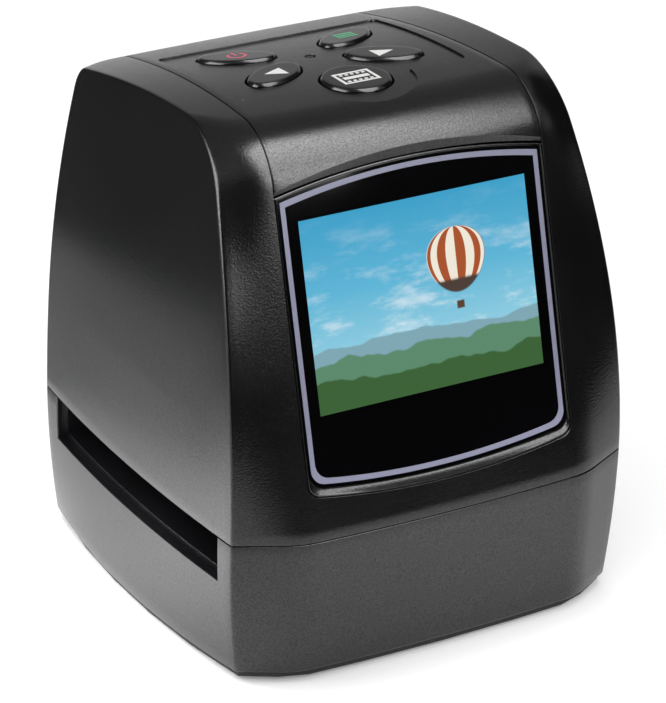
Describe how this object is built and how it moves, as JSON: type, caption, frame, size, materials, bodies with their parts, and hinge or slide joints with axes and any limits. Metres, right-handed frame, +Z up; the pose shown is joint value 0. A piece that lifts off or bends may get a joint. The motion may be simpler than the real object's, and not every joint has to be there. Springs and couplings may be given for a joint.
{
  "type": "film negative scanner",
  "caption": "Desk-top scanner for film negatives: a tapered case with a sloping colour screen, press keys on top and a film tunnel from side to side.",
  "frame": {"origin": "on the table, under the middle of the object's bounding box", "axes": "+Z up, the screen faces -Y, +X to the right of someone who looks at the screen; the film holder slides along X"},
  "size_m": [0.0898, 0.0884, 0.1043],
  "materials": {
    "case_plastic": "satin moulded ABS with a fine spark-eroded grain",
    "inner_plastic": "matt black moulded plastic",
    "key_plastic": "polished black key caps",
    "window": "polished clear acrylic, printed black behind round the picture",
    "circuit_board": "green solder mask on glass-epoxy board",
    "white_plastic": "white moulded plastic",
    "switch_plastic": "black moulded switch body",
    "rubber": "matt black rubber",
    "steel": "plated sheet steel",
    "lead_sheath": "red PVC sheath",
    "lens_metal": "black anodised"
  },
  "bodies": {
    "case": {"upper_housing": "case_plastic", "top_cover": "case_plastic", "base_housing": "case_plastic", "bottom_plate": "inner_plastic", "screen_bezel": "inner_plastic", "screen_window": "window", "screen_module": "steel", "main_board": "circuit_board", "status_led": "white_plastic", "key_board": "circuit_board", "film_gate": "inner_plastic", "diffuser": "white_plastic", "light_reflector": "white_plastic", "led_board": "white_plastic", "optical_tunnel": "inner_plastic", "lens_barrel": "lens_metal", "sensor_board": "circuit_board", "socket_board": "circuit_board", "usb_socket": "steel", "card_socket": "steel", "key_ribbon": "white_plastic", "sensor_ribbon": "white_plastic", "socket_ribbon": "white_plastic", "light_lead": "lead_sheath", "power_switch": "switch_plastic", "left_switch": "switch_plastic", "menu_switch": "switch_plastic", "right_switch": "switch_plastic", "scan_switch": "switch_plastic", "foot_front_left": "rubber", "screw_front_left": "steel", "foot_front_right": "rubber", "screw_front_right": "steel", "foot_rear_left": "rubber", "screw_rear_left": "steel", "foot_rear_right": "rubber", "screw_rear_right": "steel"},
    "power_button": {"power_key": "key_plastic", "power_plunger": "white_plastic"},
    "left_button": {"left_key": "key_plastic", "left_plunger": "white_plastic"},
    "menu_button": {"menu_key": "key_plastic", "menu_plunger": "white_plastic"},
    "right_button": {"right_key": "key_plastic", "right_plunger": "white_plastic"},
    "scan_button": {"scan_key": "key_plastic", "scan_plunger": "white_plastic"}
  },
  "joints": [
    {"name": "power_press", "type": "slide", "parent": "case", "child": "power_button", "axis": [0, 0, -1], "range_m": [0, 0.0005], "stiffness_N_per_m": 500},
    {"name": "left_press", "type": "slide", "parent": "case", "child": "left_button", "axis": [0, 0, -1], "range_m": [0, 0.0005], "stiffness_N_per_m": 500},
    {"name": "menu_press", "type": "slide", "parent": "case", "child": "menu_button", "axis": [0, 0, -1], "range_m": [0, 0.0005], "stiffness_N_per_m": 500},
    {"name": "right_press", "type": "slide", "parent": "case", "child": "right_button", "axis": [0, 0, -1], "range_m": [0, 0.0005], "stiffness_N_per_m": 500},
    {"name": "scan_press", "type": "slide", "parent": "case", "child": "scan_button", "axis": [0, 0, -1], "range_m": [0, 0.0005], "stiffness_N_per_m": 500}
  ]
}
